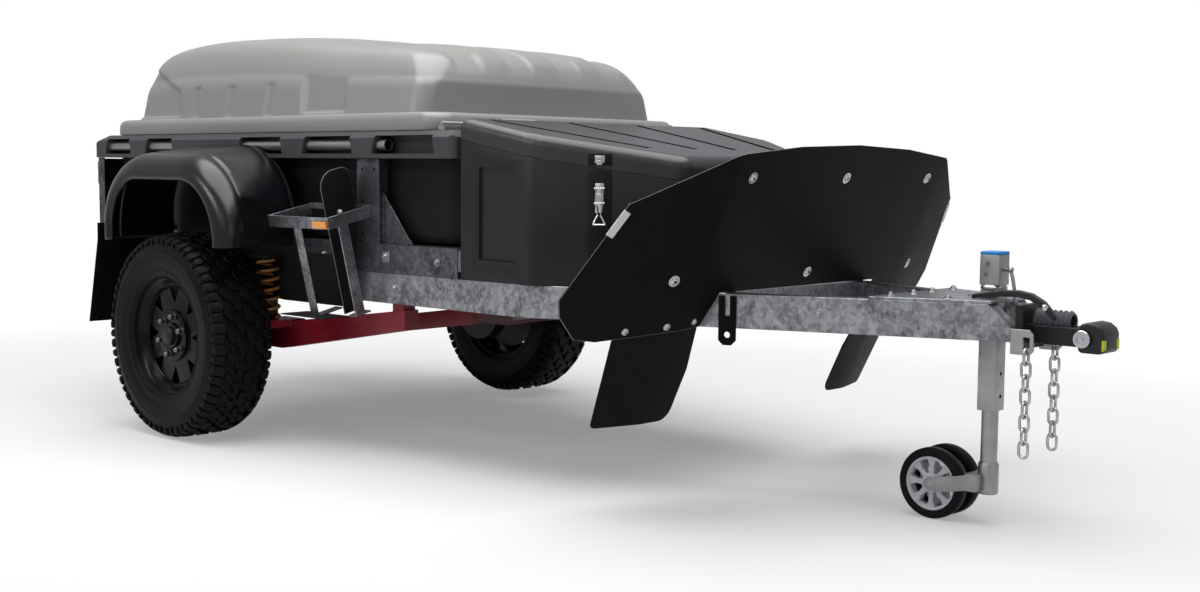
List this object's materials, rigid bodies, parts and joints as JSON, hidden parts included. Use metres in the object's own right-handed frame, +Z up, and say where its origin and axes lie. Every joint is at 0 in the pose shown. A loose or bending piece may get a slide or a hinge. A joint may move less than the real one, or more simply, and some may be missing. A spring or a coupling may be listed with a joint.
{
  "type": "off-road camping trailer",
  "caption": "Off-road camping trailer: domed lid over a moulded tub, nose toolbox, stone guard, A-frame drawbar, jockey wheel and trailing-arm suspension.",
  "frame": {"origin": "on the ground, under the middle of the trailer's overall length and width", "axes": "+X forward to the coupling, +Y to the trailer's left side, +Z up"},
  "size_m": [4.138, 1.9, 1.479],
  "materials": {
    "tyre_rubber": "matt mud-terrain rubber",
    "wheel_black": "gloss black pressed steel",
    "galvanised_steel": "mottled hot-dip galvanised",
    "tub_plastic": "dark moulded plastic, fine grain",
    "gate_plastic": "dark moulded plastic, fine grain",
    "lid_plastic": "warm grey moulded plastic, satin",
    "box_plastic": "satin black moulded plastic",
    "guard_plastic": "black moulded plastic, semi-gloss",
    "guard_paint": "black powder coat, lightly worn edge",
    "flap_rubber": "matt black rubber",
    "bright_zinc": "bright zinc plating",
    "suspension_red": "deep red paint",
    "brake_black": "black paint over cast iron",
    "spring_amber": "amber powder coat",
    "coupling_black": "black painted casting",
    "cap_blue": "light blue plastic",
    "jockey_tyre": "solid black rubber",
    "lamp_red": "red lens",
    "marker_amber": "amber lens"
  },
  "bodies": {
    "chassis": {"main_rails": "galvanised_steel", "drawbar_arms": "galvanised_steel", "cross_members": "galvanised_steel", "nose_plate": "galvanised_steel", "side_channels": "galvanised_steel", "side_posts": "galvanised_steel", "rear_posts": "galvanised_steel", "tub": "tub_plastic", "tub_rim": "tub_plastic", "grab_tubes": "bright_zinc", "gate_hinges": "bright_zinc", "hinge_blocks": "bright_zinc", "front_box": "box_plastic", "box_hinges": "bright_zinc", "stone_guard": "guard_paint", "guard_brackets": "guard_paint", "front_flaps": "flap_rubber", "rear_flaps": "flap_rubber", "mudguard_far": "guard_plastic", "mudguard_near": "guard_plastic", "mudguard_stays": "galvanised_steel", "trailing_arms": "suspension_red", "hubs": "brake_black", "coil_springs": "spring_amber", "dampers": "brake_black", "can_holders": "galvanised_steel", "holder_plates": "tub_plastic", "jockey_case": "bright_zinc", "jockey_cap": "cap_blue", "jockey_crank": "bright_zinc", "coupling_base": "coupling_black", "coupling_head": "coupling_black", "coupling_pins": "bright_zinc", "brake_lever": "coupling_black", "chain_lugs": "bright_zinc", "safety_chains": "bright_zinc", "tail_lamps": "lamp_red", "side_markers": "marker_amber", "tie_brackets": "galvanised_steel", "spring_seats": "suspension_red", "box_latches": "bright_zinc"},
    "wheel_near": {"tyre_near": "tyre_rubber", "rim_near": "wheel_black"},
    "wheel_far": {"tyre_far": "tyre_rubber", "rim_far": "wheel_black"},
    "tailgate": {"tailgate": "gate_plastic"},
    "lid": {"lid_shell": "lid_plastic", "lid_hinges": "bright_zinc"},
    "box_lid": {"box_lid": "box_plastic"},
    "jockey_stem": {"jockey_stem": "bright_zinc"},
    "jockey_fork": {"jockey_fork": "bright_zinc"},
    "jockey_wheels": {"jockey_wheels": "jockey_tyre"}
  },
  "joints": [
    {"name": "wheel_near_spin", "type": "hinge", "parent": "chassis", "child": "wheel_near", "pos_m": [-1.023, -0.8155, 0.3675], "axis": [0, 1, 0], "continuous": true},
    {"name": "wheel_far_spin", "type": "hinge", "parent": "chassis", "child": "wheel_far", "pos_m": [-1.023, 0.8155, 0.3675], "axis": [0, 1, 0], "continuous": true},
    {"name": "lid_hinge", "type": "hinge", "parent": "chassis", "child": "lid", "pos_m": [0.117, 0, 1.116], "axis": [0, 1, 0], "range_deg": [0, 50]},
    {"name": "box_lid_hinge", "type": "hinge", "parent": "chassis", "child": "box_lid", "pos_m": [0.2017, 0, 1.128], "axis": [0, -1, 0], "range_deg": [0, 60]},
    {"name": "tailgate_hinge", "type": "hinge", "parent": "chassis", "child": "tailgate", "pos_m": [-2.0313, 0, 0.7637], "axis": [0, -1, 0], "range_deg": [0, 90]},
    {"name": "jockey_slide", "type": "slide", "parent": "chassis", "child": "jockey_stem", "axis": [0, 0, 1], "range_m": [0, 0.14]},
    {"name": "jockey_swivel", "type": "hinge", "parent": "jockey_stem", "child": "jockey_fork", "pos_m": [1.729, 0, 0.17], "axis": [0, 0, 1], "continuous": true},
    {"name": "jockey_roll", "type": "hinge", "parent": "jockey_fork", "child": "jockey_wheels", "pos_m": [1.579, 0, 0.101], "axis": [0, 1, 0], "continuous": true}
  ]
}
